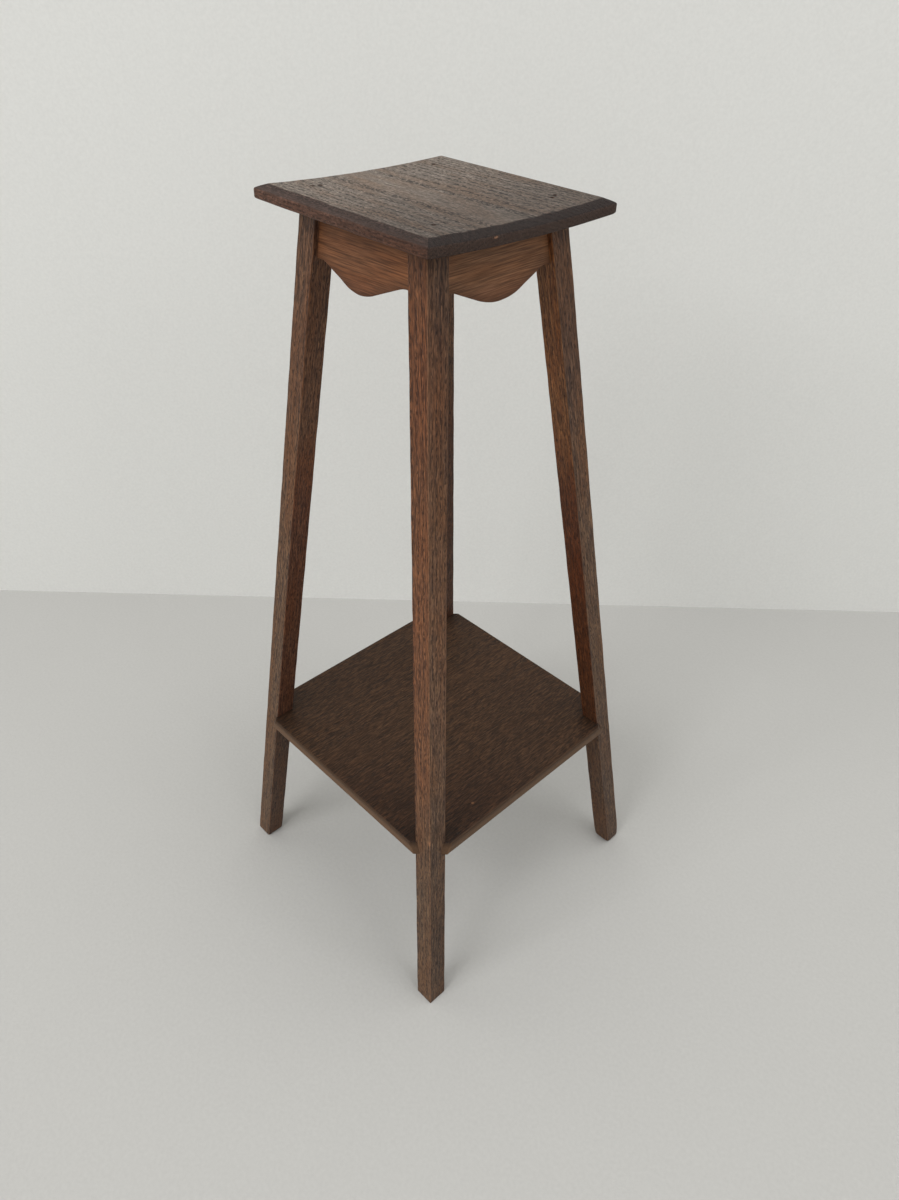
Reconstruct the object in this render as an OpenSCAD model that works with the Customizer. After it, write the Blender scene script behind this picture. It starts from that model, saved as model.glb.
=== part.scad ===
// Slender oak stand for a bonsai pot: four splayed legs, a bevelled square top,
// shaped aprons and a lower shelf let into the legs.
// Millimetres, +Z up, origin on the floor at the middle of the four feet.
// The front is towards -Y.

/* [Frame] */
// Height of the middle of the top above the floor
stand_height = 599; // [450:1:800]
// Width across the outer faces of the feet
base_width = 256; // [220:1:320]
// Lean of each leg face from upright, in degrees
splay = 6.8; // [4:0.1:7.5]
// Side of the square legs
leg_size = 16.4; // [14:0.2:24]

/* [Top board] */
// Side of the square top
top_width = 156; // [140:1:220]
// Thickness of the top
top_thickness = 9; // [7:0.5:14]
// Width of the bevel along the upper edges of the top
bevel_width = 7; // [3:0.5:12]
// Height of the bevel along the upper edges of the top
bevel_height = 3; // [1:0.5:5]
// How far the edges of the top have cupped upwards across the grain
top_cup = 2.2; // [0.5:0.1:4]
// How far the old top leans out of level, down towards its back right corner, in degrees
top_lean = 1.75; // [0:0.05:3]
// How far the top sits off the middle of the frame, towards its back right corner, along X and along Y
top_shift = 0.9; // [0:0.1:1.8]

/* [Aprons] */
// Depth of the front and back aprons where they meet a leg
apron_end_depth = 25; // [22:0.5:40]
// How much deeper the two side aprons were cut
side_apron_extra = 2.2; // [0:0.1:4]
// How much deeper the rounded lobe in the middle of an apron is
lobe_drop = 14; // [8:0.5:20]
// Radius of the lobe's lowest stretch
lobe_radius = 26; // [16:1:40]
// Radius of the hollow curve near each leg
hollow_radius = 12; // [6:1:18]
// Width of the straight stretch beside each leg
end_flat = 4.5; // [2:0.5:8]
// Thickness of an apron, measured level
apron_thickness = 8; // [6:0.5:9]
// How far an apron's face is set back from the outer faces of the legs
apron_setback = 3.7; // [2:0.1:6]

/* [Apron joints] */
// Thickness of the stub tenons
tenon_thickness = 5; // [3:0.5:6]
// Wood left between a tenon and the lower edge of its apron
tenon_edge = 3.5; // [2:0.5:6]
// Wood left between the two mortises that meet in a leg
mortise_wall = 1.2; // [1:0.1:2]

/* [Shelf] */
// Height of the shelf's upper face above the floor
shelf_height = 167; // [120:1:260]
// Thickness of the shelf
shelf_thickness = 10.2; // [7:0.1:14]
// How far the shelf's edges stand out beyond the outer faces of the legs
shelf_overhang = 4.7; // [1:0.1:8]
// How far the upper edge of a cut corner of the shelf is let into its leg, measured on the diagonal
housing_depth = 12.6; // [8:0.1:14]
// Slope of the cut corners, which stand further out at the under face, in degrees from the lean of the legs
corner_slope = 12; // [0:1:30]

/* [Pins] */
// Diameter of a pin's shank
pin_diameter = 1.6; // [1.2:0.1:2]
// Length of the pins that hold the top
top_pin_length = 16; // [14:1:18]
// Length of the pins that hold the shelf
shelf_pin_length = 25; // [20:1:35]
// Diameter of a pin's head
pin_head_diameter = 2.4; // [2.1:0.1:3]
// Height of a pin's head
pin_head_height = 0.8; // [0.5:0.1:1.2]
// How far a head is punched below the wood
pin_sink = 1; // [0.5:0.1:1.5]

/* [Clearances] */
// Play around a tenon in its mortise
tenon_play = 0.1; // [0.05:0.05:0.3]
// Room between a tenon's end and the bottom of its mortise
mortise_end_room = 0.4; // [0.3:0.1:1]
// Play around a pin and its head
pin_play = 0.05; // [0.05:0.05:0.2]

/* [Hidden] */

leg_colour = "#6e4a34";
apron_colour = "#7d5234";
top_colour = "#6b5d52";
shelf_colour = "#4f382b";
steel_colour = "#3a3431";

// Stated lengths that only have to reach past the wood they cut
past = 20;
reach = 2 * base_width;

// Half the width across the outer faces of the legs at height z
function outer_half(z) = base_width / 2 - z * tan(splay);
// Half the clear width between the legs at height z
function inner_half(z) = outer_half(z) - leg_size;
// Middle of a leg at height z, along X and along Y
function leg_middle(z) = outer_half(z) - leg_size / 2;

// The top rests on the frame at seat_z. Its under face is part of a large cylinder along X.
seat_z = stand_height - top_thickness;
top_half = top_width / 2;
seat_radius = (top_half * top_half + top_cup * top_cup) / (2 * top_cup);
top_radius = seat_radius - top_thickness;
// How much the cupped under face has risen at y
function cup_rise(y) = seat_radius - sqrt(seat_radius * seat_radius - y * y);
// How much the cupped upper face has risen at y
function top_rise(y) = seat_radius - sqrt(top_radius * top_radius - y * y);
// How much the lean lowers the back right leg's seat
lean_drop = leg_middle(seat_z) * sqrt(2) * tan(top_lean);

// The lower edge of an apron ends level at end_z beside the legs
front_end_z = seat_z - apron_end_depth;
side_end_z = front_end_z - side_apron_extra;

// A tenon starts below the pins of the top and ends short of the other mortise in its leg
tenon_top = seat_z - lean_drop - (top_pin_length + pin_sink - top_thickness) - mortise_wall;
tenon_bottom = front_end_z + tenon_edge;
tenon_inset = apron_setback + (apron_thickness - tenon_thickness) / 2;
mortise_depth = leg_size - tenon_inset - tenon_thickness - tenon_play - mortise_wall;
tenon_length = mortise_depth - mortise_end_room;

shelf_half = outer_half(shelf_height) + shelf_overhang;
shelf_under = shelf_height - shelf_thickness;
shelf_middle = shelf_height - shelf_thickness / 2;
// Distance from the stand's axis to the cut corners of the shelf at height z
function corner_seat(z) = inner_half(z) * sqrt(2) + housing_depth + (shelf_height - z) * tan(corner_slope);

// Where the pins of the top are driven: the side of the leg in X and Y, and how far from the middle
// of that leg, in X and Y, as a share of the leg's size
top_pin_places = [
    [-1, -1, -0.3, -0.08],
    [-1, -1, -0.27, 0.26],
    [1, 1, 0.03, -0.05],
    [1, 1, -0.12, 0.27],
    [1, -1, 0.18, -0.04],
    [-1, 1, -0.46, 0.1]
];

// Children are moved from the corner at +X, +Y to the corner on the given sides
module to_corner(side_x, side_y) {
    mirror([side_x < 0 ? 1 : 0, 0, 0])
        mirror([0, side_y < 0 ? 1 : 0, 0])
            children();
}

// Children are moved and turned into the frame of the top, which leans and sits off the middle
module lean() {
    translate([top_shift, top_shift, seat_z])
        rotate(a = top_lean, v = [-1, 1, 0])
            children();
}

// Everything above the surface that carries the top
module above_seat() {
    lean()
        translate([0, 0, seat_radius])
            rotate([0, 90, 0])
                cylinder(r = seat_radius, h = reach, center = true, $fn = 1440);
}

// A layer that follows the splayed front of the frame, from inset behind the legs' outer faces
module front_layer(inset, thickness, z_low, z_high) {
    rotate([90, 0, 90])
        linear_extrude(height = reach, center = true)
            polygon([
                [-outer_half(z_low) + inset, z_low],
                [-outer_half(z_low) + inset + thickness, z_low],
                [-outer_half(z_high) + inset + thickness, z_high],
                [-outer_half(z_high) + inset, z_high]
            ]);
}

// The front elevation of what fits between the legs, reaching further into them by extra
module between_legs(z_low, z_high, extra = 0) {
    polygon([
        [-inner_half(z_low) - extra, z_low],
        [inner_half(z_low) + extra, z_low],
        [inner_half(z_high) + extra, z_high],
        [-inner_half(z_high) - extra, z_high]
    ]);
}

// Both stub tenons of the front apron in one bar, enlarged by play and made longer by end_room
module tenon_bar(play = 0, end_room = 0) {
    intersection() {
        front_layer(tenon_inset - play, tenon_thickness + 2 * play, tenon_bottom - play, tenon_top + play);
        rotate([90, 0, 0])
            linear_extrude(height = reach, center = true)
                between_legs(tenon_bottom - play, tenon_top + play, tenon_length + end_room);
    }
}

// The front elevation of an apron, open at the top, with its lower edge level at end_z beside the legs.
// A straight flank touches the lobe below it and the hollow above it.
module apron_outline(end_z) {
    hollow = [inner_half(end_z) - end_flat, end_z - hollow_radius];
    lobe_z = end_z - lobe_drop + lobe_radius;
    between = norm([hollow.x, hollow.y - lobe_z]);
    flank = atan2(hollow.y - lobe_z, hollow.x) + asin((lobe_radius + hollow_radius) / between);
    low = [lobe_radius * sin(flank), lobe_z - lobe_radius * cos(flank)];
    high = [hollow.x - hollow_radius * sin(flank), hollow.y + hollow_radius * cos(flank)];
    between_legs(end_z, seat_z + past);
    difference() {
        union() {
            polygon([[-hollow.x, end_z], [-high.x, high.y], [-low.x, low.y], low, high, [hollow.x, end_z]]);
            intersection() {
                translate([0, lobe_z])
                    circle(r = lobe_radius, $fn = 180);
                translate([-lobe_radius, end_z - lobe_drop])
                    square([2 * lobe_radius, lobe_drop]);
            }
        }
        for (side = [-1, 1])
            translate([side * hollow.x, hollow.y])
                circle(r = hollow_radius, $fn = 120);
    }
}

// An apron turned by so many quarters from the front, cut along the under face of the top
module apron(quarter, end_z) {
    color(apron_colour)
        difference() {
            rotate([0, 0, 90 * quarter])
                intersection() {
                    front_layer(apron_setback, apron_thickness, end_z - lobe_drop, seat_z + past);
                    rotate([90, 0, 0])
                        linear_extrude(height = reach, center = true)
                            apron_outline(end_z);
                }
            above_seat();
        }
    color(apron_colour)
        rotate([0, 0, 90 * quarter])
            tenon_bar();
}

// A pin of the given length under the origin, with the face of its punched head at the origin
module pin(length) {
    translate([0, 0, -length])
        cylinder(d = pin_diameter, h = length - pin_head_height, $fn = 32);
    translate([0, 0, -pin_head_height])
        cylinder(d = pin_head_diameter, h = pin_head_height, $fn = 32);
}

// The hole that such a pin and the punch leave, open above the head
module pin_hole(length) {
    translate([0, 0, -length - pin_play])
        cylinder(d = pin_diameter + 2 * pin_play, h = length, $fn = 32);
    translate([0, 0, -pin_head_height - pin_play])
        cylinder(d = pin_head_diameter + 2 * pin_play, h = pin_head_height + pin_sink + past, $fn = 32);
}

// Children are placed at the head of each pin of the top
module at_top_pins() {
    lean()
        for (place = top_pin_places) {
            x = place[0] * leg_middle(seat_z) + place[2] * leg_size;
            y = place[1] * leg_middle(seat_z) + place[3] * leg_size;
            translate([x, y, top_rise(y) - pin_sink])
                children();
        }
}

// Children are placed at the head of the shelf pin at +X, +Y, driven level through the leg's outer corner
module at_shelf_pin() {
    head = outer_half(shelf_middle) - pin_sink / sqrt(2);
    translate([head, head, shelf_middle])
        rotate([0, 90, 45])
            children();
}

// The leg at +X, +Y before its joints are cut
module leg_blank() {
    top_z = seat_z + past;
    intersection() {
        rotate([90, 0, 0])
            linear_extrude(height = reach, center = true)
                polygon([
                    [inner_half(0), 0],
                    [outer_half(0), 0],
                    [outer_half(top_z), top_z],
                    [inner_half(top_z), top_z]
                ]);
        rotate([90, 0, 90])
            linear_extrude(height = reach, center = true)
                polygon([
                    [inner_half(0), 0],
                    [outer_half(0), 0],
                    [outer_half(top_z), top_z],
                    [inner_half(top_z), top_z]
                ]);
    }
}

// The layer between two opposite seats for the shelf's corners
module between_seats() {
    rotate([90, 0, 45])
        linear_extrude(height = reach, center = true)
            polygon([
                [-corner_seat(shelf_under), shelf_under],
                [corner_seat(shelf_under), shelf_under],
                [corner_seat(shelf_height), shelf_height],
                [-corner_seat(shelf_height), shelf_height]
            ]);
}

module leg(side_x, side_y) {
    difference() {
        to_corner(side_x, side_y)
            difference() {
                leg_blank();
                between_seats();
                at_shelf_pin()
                    pin_hole(shelf_pin_length);
            }
        for (quarter = [0:3])
            rotate([0, 0, 90 * quarter])
                tenon_bar(tenon_play, mortise_end_room);
        at_top_pins()
            pin_hole(top_pin_length);
        above_seat();
    }
}

module leg_front_left() {
    color(leg_colour)
        leg(-1, -1);
}

module leg_front_right() {
    color(leg_colour)
        leg(1, -1);
}

module leg_back_right() {
    color(leg_colour)
        leg(1, 1);
}

module leg_back_left() {
    color(leg_colour)
        leg(-1, 1);
}

module apron_front() {
    apron(0, front_end_z);
}

module apron_right() {
    apron(1, side_end_z);
}

module apron_back() {
    apron(2, front_end_z);
}

module apron_left() {
    apron(3, side_end_z);
}

// The upper board, cupped about an axis along X, with its ends and bevels cut square to the curve
module top_board() {
    edge_height = top_thickness - bevel_height;
    rise = cup_rise(top_half);
    slope = (top_rise(top_half - bevel_width) - rise - edge_height) / bevel_width;
    sweep = 3 * atan(top_half / seat_radius);
    color(top_colour)
        difference() {
            lean()
                intersection() {
                    translate([0, 0, seat_radius])
                        rotate([0, 90, 0])
                            rotate([0, 0, -sweep / 2])
                                rotate_extrude(angle = sweep, $fn = 1440)
                                    polygon([
                                        [seat_radius, -top_half],
                                        [seat_radius, top_half],
                                        [seat_radius - edge_height, top_half],
                                        [top_radius, top_half - bevel_width],
                                        [top_radius, -top_half + bevel_width],
                                        [seat_radius - edge_height, -top_half]
                                    ]);
                    rotate([90, 0, 90])
                        linear_extrude(height = reach, center = true)
                            polygon([
                                [-top_half, -past],
                                [top_half, -past],
                                [top_half, rise + edge_height],
                                [0, rise + edge_height + slope * top_half],
                                [-top_half, rise + edge_height]
                            ]);
                }
            at_top_pins()
                pin_hole(top_pin_length);
        }
}

module lower_shelf() {
    color(shelf_colour)
        difference() {
            intersection() {
                translate([-shelf_half, -shelf_half, shelf_under])
                    cube([2 * shelf_half, 2 * shelf_half, shelf_thickness]);
                between_seats();
                rotate([0, 0, 90])
                    between_seats();
            }
            for (side_x = [-1, 1], side_y = [-1, 1])
                to_corner(side_x, side_y)
                    at_shelf_pin()
                        pin_hole(shelf_pin_length);
        }
}

module top_pins() {
    color(steel_colour)
        at_top_pins()
            pin(top_pin_length);
}

module shelf_pins() {
    color(steel_colour)
        for (side_x = [-1, 1], side_y = [-1, 1])
            to_corner(side_x, side_y)
                at_shelf_pin()
                    pin(shelf_pin_length);
}

top_board();
leg_front_left();
leg_front_right();
leg_back_right();
leg_back_left();
apron_front();
apron_right();
apron_back();
apron_left();
lower_shelf();
top_pins();
shelf_pins();
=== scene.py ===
"""An old oak bonsai stand: four splayed legs, a bevelled and cupped top, shaped aprons and a shelf let into the legs.

Lengths are in millimetres until a mesh is made. +Z is up, the front is towards -Y, and the floor is at 0.
"""
import math

import bpy
import numpy as np
from mathutils import Matrix, Vector


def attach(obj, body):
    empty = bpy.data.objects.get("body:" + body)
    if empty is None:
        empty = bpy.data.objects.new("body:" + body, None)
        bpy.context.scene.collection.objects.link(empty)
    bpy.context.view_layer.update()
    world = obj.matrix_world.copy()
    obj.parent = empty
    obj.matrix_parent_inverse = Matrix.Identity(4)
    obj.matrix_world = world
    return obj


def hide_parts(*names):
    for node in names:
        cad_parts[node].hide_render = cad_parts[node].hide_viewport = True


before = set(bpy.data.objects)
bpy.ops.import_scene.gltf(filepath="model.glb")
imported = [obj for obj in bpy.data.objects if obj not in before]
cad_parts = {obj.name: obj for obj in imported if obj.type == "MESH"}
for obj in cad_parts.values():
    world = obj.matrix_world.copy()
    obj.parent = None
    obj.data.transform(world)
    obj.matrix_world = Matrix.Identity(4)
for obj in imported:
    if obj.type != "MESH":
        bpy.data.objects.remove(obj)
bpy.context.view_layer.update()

# --------------------------------------------------------------------------------------------------------------
# The four legs: square oak sticks, planed, stained brown and waxed. They lean 6.8 degrees out of upright both
# ways, are sawn level at the floor and have a housing for the shelf sawn across the inner corner.
# --------------------------------------------------------------------------------------------------------------
LEGS = {"leg_front_left": (-1, -1), "leg_front_right": (1, -1), "leg_back_right": (1, 1), "leg_back_left": (-1, 1)}
LEG_SIDE = 16.4
FOOT_HALF = 128.0
LEAN = math.tan(math.radians(6.8))
# The shelf's two faces, the depth of its housing along the leg's diagonal, and the slope of the shelf's cut corners
SHELF_UNDER, SHELF_FACE = 156.8, 167.0
HOUSING_DEPTH = 12.6
CORNER_SLOPE = math.tan(math.radians(12.0))
# The under face of the top, where the legs end: its height, half width, cup, lean and shift towards one corner
SEAT_HEIGHT = 590.0
TOP_HALF, TOP_CUP, TOP_LEAN, TOP_SHIFT = 78.0, 2.2, math.radians(1.75), 0.9
SEAT_RADIUS = (TOP_HALF ** 2 + TOP_CUP ** 2) / (2 * TOP_CUP)
# The arrises: their radius, how much it sways and over what length, and its limits
ARRIS_ROUND, ARRIS_SWAY, ARRIS_WAVE, ARRIS_LEAST, ARRIS_MOST = 0.55, 0.3, 34.0, 0.3, 1.0
# The radius to which each foot has worn, that of one which has hardly worn, and the share of the rest that the
# arrises above it have lost, fading out over a height
FOOT_WORN = {"leg_front_left": 1.6, "leg_front_right": 0.8, "leg_back_right": 3.6, "leg_back_left": 1.2}
FOOT_FRESH, FOOT_SHARE, FOOT_REACH = 0.8, 0.8, 9.0
CHIP_HEIGHT, CHIP_TALL, CHIP_DEEP = 177.0, 2.4, 1.2
# The mesh: its lines across a flat face, its rings up a leg and at the chip, and its steps round a quarter turn
FLAT_LINES = np.array([1.2, 2.4, 4.5, 8.2, 11.9, 14.0, 15.2])
RING_STEP, CHIP_STEP = 5.0, 0.8
QUARTER_TURN = np.radians([0, 22.5, 45, 67.5, 90])
# Rounds after which a place that depends on the height of the seat over it has settled
SETTLING = 4
# Each leg takes its grain from another stretch of the same board
LEG_APART = 700


def outer_half(height):
    """Half the width over the legs: the half width at the floor less the height times the lean."""
    return FOOT_HALF - height * LEAN


def housing(height):
    """Depth of the shelf's housing along a leg's diagonal: set at the shelf's face, and deeper below by the slope."""
    return HOUSING_DEPTH + (SHELF_FACE - height) * CORNER_SLOPE


def leaned(points):
    """Turns points about the level diagonal through the middle of the seat, so that the back right corner drops,
    and shifts them towards that corner."""
    axis = np.array([-1.0, 1.0, 0.0]) / math.sqrt(2)
    local = points - np.array([0, 0, SEAT_HEIGHT])
    along = (local @ axis)[..., None] * axis
    aside = np.cross(axis, local)
    turned = local * math.cos(TOP_LEAN) + aside * math.sin(TOP_LEAN) + along * (1 - math.cos(TOP_LEAN))
    return turned + np.array([TOP_SHIFT, TOP_SHIFT, SEAT_HEIGHT])


def cupped(x, y, height):
    """The cupped board in space: a height above its under face lies on a cylinder along X, then leans."""
    z = SEAT_HEIGHT + SEAT_RADIUS - np.sqrt((SEAT_RADIUS - height) ** 2 - y ** 2)
    return leaned(np.stack(np.broadcast_arrays(x, y, z), -1))


def seat_height(x, y):
    """Height of the under face of the top over a point: the point is moved back until its leaned place is there."""
    flat_x, flat_y = x, y
    for _ in range(SETTLING):
        placed = cupped(flat_x, flat_y, 0.0)
        flat_x, flat_y = flat_x + x - placed[..., 0], flat_y + y - placed[..., 1]
    return placed[..., 2]


def ripple(distance, seed, wave):
    """Handwork unevenness along a length, about -1 to 1: the mean of five sines, with drawn phases and with drawn
    lengths of half to twice the wave, times 1.6 to fill that range."""
    draw = np.random.default_rng(seed)
    lengths = wave * draw.uniform(0.5, 2.0, 5)
    phases = draw.uniform(0, 2 * np.pi, 5)
    return np.sin(2 * np.pi * np.asarray(distance)[..., None] / lengths + phases).mean(-1) * 1.6


def rounded_square(side, radii, lines):
    """Section of a square stick: a quarter circle of its own radius at each corner, and lines along the flats.

    radii is [ring, corner]. Returns points [ring, place, 2] from the inner corner."""
    corners = np.array([[0, 0], [1, 0], [1, 1], [0, 1]]) * side
    inward = np.array([[1, 1], [-1, 1], [-1, -1], [1, -1]])
    parts = []
    for k in range(4):
        angles = QUARTER_TURN + np.radians(180 + 90 * k)
        arc = np.stack([np.cos(angles), np.sin(angles)], -1)
        radius = radii[:, k, None, None]
        parts.append(corners[k] + inward[k] * radius + arc * radius)
        way = (corners[(k + 1) % 4] - corners[k]) / side
        reach = np.clip(lines, radii[:, k, None], side - radii[:, (k + 1) % 4, None])
        parts.append(corners[k] + reach[..., None] * way)
    return np.concatenate(parts, 1)


def skin(name, rings, flip=False, **measures):
    """Closes rings of points [ring, place, 3] into one skin, with a fan to the middle of the first and last ring.

    Measures taken at the same places become attributes: board, the place in the board that the piece was sawn
    from, along its fibres, across them and through its thickness, and arris, the distance from the nearest edge."""
    def listed(layer):
        """A layer's values one after the other, and then the middles of its first and last ring."""
        layer = layer[:, ::-1] if flip else layer
        return np.concatenate([layer.reshape(-1, *layer.shape[2:]), layer[:1].mean(1), layer[-1:].mean(1)])

    count, size = rings.shape[:2]
    index = np.arange(count * size).reshape(count, size)
    beside = np.roll(index, -1, 1)
    quads = np.stack([index[:-1], beside[:-1], beside[1:], index[1:]], -1).reshape(-1, 4)
    first = np.stack([np.full(size, count * size), beside[0], index[0]], -1)
    last = np.stack([np.full(size, count * size + 1), index[-1], beside[-1]], -1)
    return shape(name, listed(rings), quads.tolist() + first.tolist() + last.tolist(),
                 **{measure: listed(layer) for measure, layer in measures.items()})


def shape(name, places, faces, **measures):
    """Puts places, in millimetres, and faces into a mesh, and the measures into its attributes. Links its object."""
    mesh = bpy.data.meshes.new(name)
    mesh.from_pydata((places / 1000).tolist(), [], faces)
    for measure, values in measures.items():
        kind, field = ("FLOAT_VECTOR", "vector") if values.ndim == 2 else ("FLOAT", "value")
        mesh.attributes.new(measure, kind, "POINT").data.foreach_set(field, values.ravel())
    mesh.polygons.foreach_set("use_smooth", np.ones(len(mesh.polygons), dtype=bool))
    mesh.set_sharp_from_angle(angle=math.radians(30))
    piece = bpy.data.objects.new(name, mesh)
    bpy.context.scene.collection.objects.link(piece)
    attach(piece, "root")
    return piece


def leg(node_name, side_x, side_y, seed, chip, foot_worn):
    """A worn square section carried up the leg. Its last ring lies on the seat, and where the shelf is let in
    the inner corner is cut straight across at a set distance along the diagonal. chip is the depth of a chip in
    the outer arris, and foot_worn the radius to which the foot has worn."""
    # Heights of the rings: closer together round the sole, at the housing and at the chip
    low = np.concatenate([foot_worn * (1 - np.cos(QUARTER_TURN)), np.arange(6, 154, RING_STEP), [SHELF_UNDER]])
    inside = np.array([SHELF_UNDER, 159.0, 162.0, 165.0, SHELF_FACE])
    high = np.concatenate([[SHELF_FACE, 169.0], np.arange(171, 184, CHIP_STEP), np.arange(188, 584, RING_STEP),
                           [587.0, SEAT_HEIGHT]])
    level = np.concatenate([low, inside, high])
    housed = np.concatenate([low * 0, inside * 0 + 1, high * 0]).astype(bool)
    inset = np.zeros(len(level))
    inset[:len(QUARTER_TURN)] = foot_worn * (1 - np.sin(QUARTER_TURN))

    radii = np.stack([ARRIS_ROUND + ARRIS_SWAY * ripple(level, seed + k, ARRIS_WAVE) for k in range(4)], -1)
    radii = radii.clip(ARRIS_LEAST, ARRIS_MOST)
    radii[:, 2] += chip * np.exp(-((level - CHIP_HEIGHT) / CHIP_TALL) ** 4)
    radii += FOOT_SHARE * (foot_worn - FOOT_FRESH) * np.exp(-(level[:, None] / FOOT_REACH) ** 2)
    middle = LEG_SIDE / 2
    in_stick = rounded_square(LEG_SIDE, radii, FLAT_LINES)
    in_stick = middle + (in_stick - middle) * (1 - inset / middle)[:, None, None]

    # The housing: what is nearer than the cut moves out to it, in the same order along it
    cut = housing(level)[:, None] * math.sqrt(2)
    total = in_stick.sum(-1)
    narrowed = np.sign(in_stick[..., 1] - in_stick[..., 0]) * total / cut * (2 * LEG_SIDE - cut)
    on_cut = np.stack([(cut - narrowed) / 2, (cut + narrowed) / 2], -1)
    moved = housed[:, None] & (total < cut)
    section = np.where(moved[..., None], on_cut, in_stick)

    height = np.broadcast_to(level[:, None], section.shape[:2])
    inner = outer_half(height) - LEG_SIDE
    share = np.clip((level[:, None] - SHELF_FACE) / (SEAT_HEIGHT - SHELF_FACE), 0, 1)
    for _ in range(SETTLING):
        x, y = side_x * (inner + section[..., 0]), side_y * (inner + section[..., 1])
        height = level[:, None] + share * (seat_height(x[-1], y[-1]) - SEAT_HEIGHT)
        inner = outer_half(height) - LEG_SIDE
    rings = np.stack([x, y, height], -1)
    board = np.concatenate([height[..., None] + LEG_APART * seed, in_stick], -1)
    return skin(node_name + "_worn", rings, flip=side_x * side_y < 0, board=board)


def linear(code):
    """An sRGB hex colour as linear light: the toe is divided by 12.92, the rest follows a power of 2.4."""
    parts = [int(code[i:i + 2], 16) / 255 for i in (1, 3, 5)]
    return [c / 12.92 if c <= 0.04045 else ((c + 0.055) / 1.055) ** 2.4 for c in parts] + [1.0]


def add(tree, kind, inputs, **settings):
    """Adds a node with its settings. An input gets a value, a socket, or a node, whose first open output it takes."""
    made = tree.nodes.new(kind)
    for name, value in settings.items():
        setattr(made, name, value)
    sockets = [s for s in made.inputs if s.enabled]
    for name, value in inputs.items():
        socket = sockets[name] if isinstance(name, int) else next(s for s in sockets if s.name == name)
        if isinstance(value, bpy.types.Node):
            value = next(s for s in value.outputs if s.enabled)
        if isinstance(value, bpy.types.NodeSocket):
            tree.links.new(value, socket)
        else:
            socket.default_value = value
    return made


# The russet clouds' size along the fibres and across them, how little a year ring changes along the fibres, and the
# length in which a wave texture of scale 1 repeats
CLOUD_MM = 60.0, 11.0
RING_CHANGE = 0.03
WAVE_REPEAT = 0.314


def drawn_out(size_mm):
    """The mapping scale of a pattern that is so many millimetres long along the fibres and so many wide."""
    along, across = size_mm
    return 1 / along, 1 / across, 1 / across


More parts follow.
